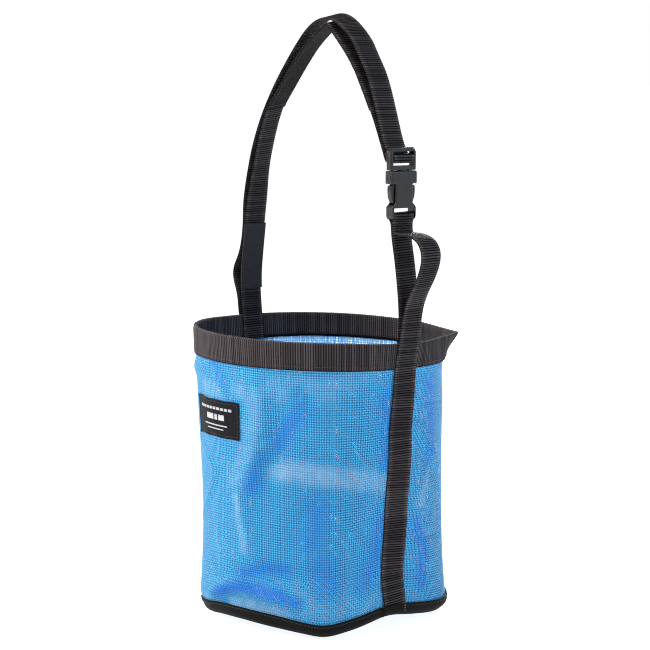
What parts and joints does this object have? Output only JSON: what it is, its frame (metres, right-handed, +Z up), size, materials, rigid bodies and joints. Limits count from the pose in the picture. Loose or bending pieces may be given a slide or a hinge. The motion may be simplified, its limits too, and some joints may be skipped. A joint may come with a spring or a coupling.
{
  "type": "mesh bucket bag",
  "caption": "Round open-mouthed mesh bag with a webbing rim, bound base and an overhead strap with a side-release buckle.",
  "frame": {"origin": "centre of the base panel's underside, on the surface the bag stands on", "axes": "+Z up through the mouth to the strap's top, +X towards the buckle side, -Y towards the label"},
  "size_m": [0.3018, 0.2598, 0.5966],
  "materials": {
    "mesh": "azure blue coated open mesh, about 2.3 mm pitch",
    "webbing": "near-black ribbed polyester webbing, slight sheen on the ribs",
    "binding_tape": "black woven binding tape folded over the edge",
    "label_cloth": "black woven label with plain off-white bars",
    "thread": "black polyester sewing thread",
    "hook_and_loop": "charcoal hook-and-loop tape, smooth and matt",
    "buckle_plastic": "black moulded acetal, satin with softly rounded edges"
  },
  "bodies": {
    "bag": {"mesh_wall": "mesh", "base_panel": "mesh", "rim_webbing": "webbing", "base_binding": "binding_tape", "right_side_webbing": "webbing", "left_side_webbing": "webbing", "right_inner_tab": "webbing", "left_inner_tab": "webbing", "label": "label_cloth", "label_thread": "thread", "rim_thread": "thread", "binding_thread": "thread", "rim_tack_thread": "thread"},
    "strap_loop": {"right_leg_webbing": "webbing", "left_outer_leg": "webbing", "left_inner_leg": "webbing", "hook_patch": "hook_and_loop", "patch_thread": "thread", "box_stitch_thread": "thread", "female_buckle": "buckle_plastic"},
    "crown": {"crown_outer_webbing": "webbing", "crown_inner_webbing": "webbing", "loop_strip": "hook_and_loop", "strip_thread": "thread", "male_buckle": "buckle_plastic"},
    "front_catch": {"front_prong": "buckle_plastic"},
    "rear_catch": {"rear_prong": "buckle_plastic"}
  },
  "joints": [
    {"name": "strap_fold", "type": "hinge", "parent": "bag", "child": "strap_loop", "pos_m": [0, 0, 0.308], "axis": [1, 0, 0], "range_deg": [-90, 90]},
    {"name": "buckle_release", "type": "slide", "parent": "strap_loop", "child": "crown", "axis": [0, 0, 1], "range_m": [0, 0.034]},
    {"name": "front_catch_squeeze", "type": "hinge", "parent": "crown", "child": "front_catch", "pos_m": [0.117, -0.0098, 0.4495], "axis": [1, 0, 0], "range_deg": [0, 6], "stiffness_Nm_per_rad": 0.3, "deforming": ["front_prong"]},
    {"name": "rear_catch_squeeze", "type": "hinge", "parent": "crown", "child": "rear_catch", "pos_m": [0.117, 0.0098, 0.4495], "axis": [1, 0, 0], "range_deg": [-6, 0], "stiffness_Nm_per_rad": 0.3, "deforming": ["rear_prong"]}
  ]
}
